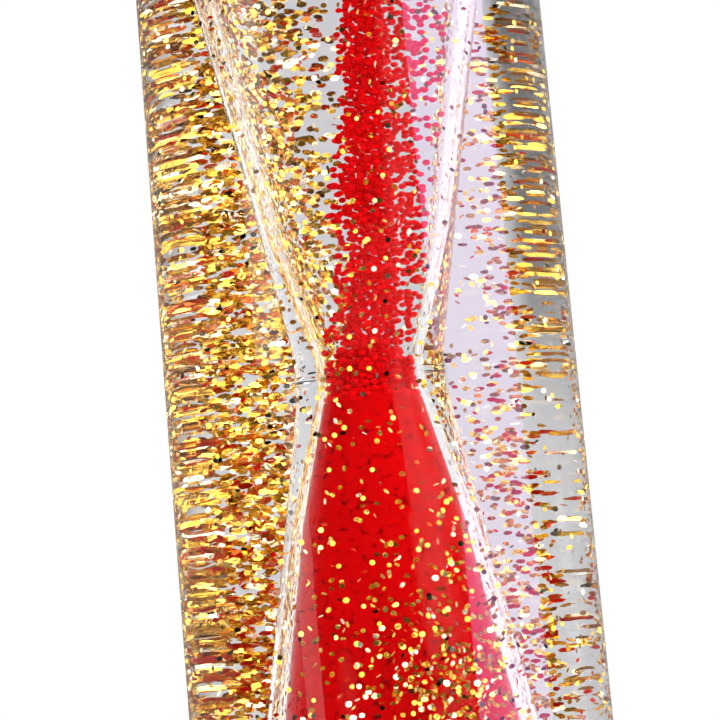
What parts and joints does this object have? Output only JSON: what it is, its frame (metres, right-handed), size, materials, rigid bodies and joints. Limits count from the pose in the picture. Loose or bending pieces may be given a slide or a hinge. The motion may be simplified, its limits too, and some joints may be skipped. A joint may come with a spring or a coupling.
{
  "type": "sensory bottle",
  "caption": "Sealed clear tube with capped ends, holding an hourglass of rising red microbeads in liquid, with gold glitter adrift round it.",
  "frame": {"origin": "centre of the underside of the bottom foot pad, on the bottle's axis", "axes": "+Z along the bottle's axis, from the end it stands on to the other"},
  "size_m": [0.0442, 0.0442, 0.156],
  "materials": {
    "clear_tube": "clear polished acrylic",
    "clear_hourglass": "clear moulded acrylic",
    "clear_ends": "clear moulded acrylic",
    "caps": "glossy red moulded plastic",
    "foot_pads": "fine matte rubber",
    "seals": "smooth black rubber",
    "silicone": "milky soft silicone",
    "red_beads": "bright red microbeads",
    "gold_glitter": "mirror-bright gold film"
  },
  "bodies": {
    "casing": {"outer_tube": "clear_tube", "bottom_cap": "caps", "top_cap": "caps", "bottom_foot_pad": "foot_pads", "top_foot_pad": "foot_pads", "bottom_end_plug": "clear_ends", "top_end_plug": "clear_ends", "bottom_o_ring": "seals", "top_o_ring": "seals", "bottom_cushion_ring": "silicone", "top_cushion_ring": "silicone", "outer_fill_stopper": "silicone", "inner_fill_stopper": "silicone", "upper_funnel": "clear_hourglass", "lower_funnel": "clear_hourglass", "upper_chamber_lid": "clear_hourglass", "lower_chamber_lid": "clear_hourglass", "bead_bed": "red_beads", "bead_heap": "red_beads"},
    "rising_beads": {"bead_plume": "red_beads"},
    "drifting_glitter": {"glitter_drift_1": "gold_glitter", "glitter_drift_2": "gold_glitter", "glitter_drift_3": "gold_glitter", "glitter_drift_4": "gold_glitter", "glitter_drift_5": "gold_glitter", "glitter_drift_6": "gold_glitter", "glitter_drift_7": "gold_glitter", "glitter_drift_8": "gold_glitter", "glitter_drift_9": "gold_glitter", "glitter_drift_10": "gold_glitter", "glitter_drift_11": "gold_glitter", "glitter_drift_12": "gold_glitter", "glitter_drift_13": "gold_glitter", "glitter_drift_14": "gold_glitter"}
  },
  "joints": [
    {"name": "bead_rise", "type": "slide", "parent": "casing", "child": "rising_beads", "axis": [0, 0, 1], "range_m": [0, 0.009]},
    {"name": "glitter_swirl", "type": "hinge", "parent": "casing", "child": "drifting_glitter", "pos_m": [0, 0, 0.078], "axis": [0, 0, 1], "continuous": true}
  ]
}
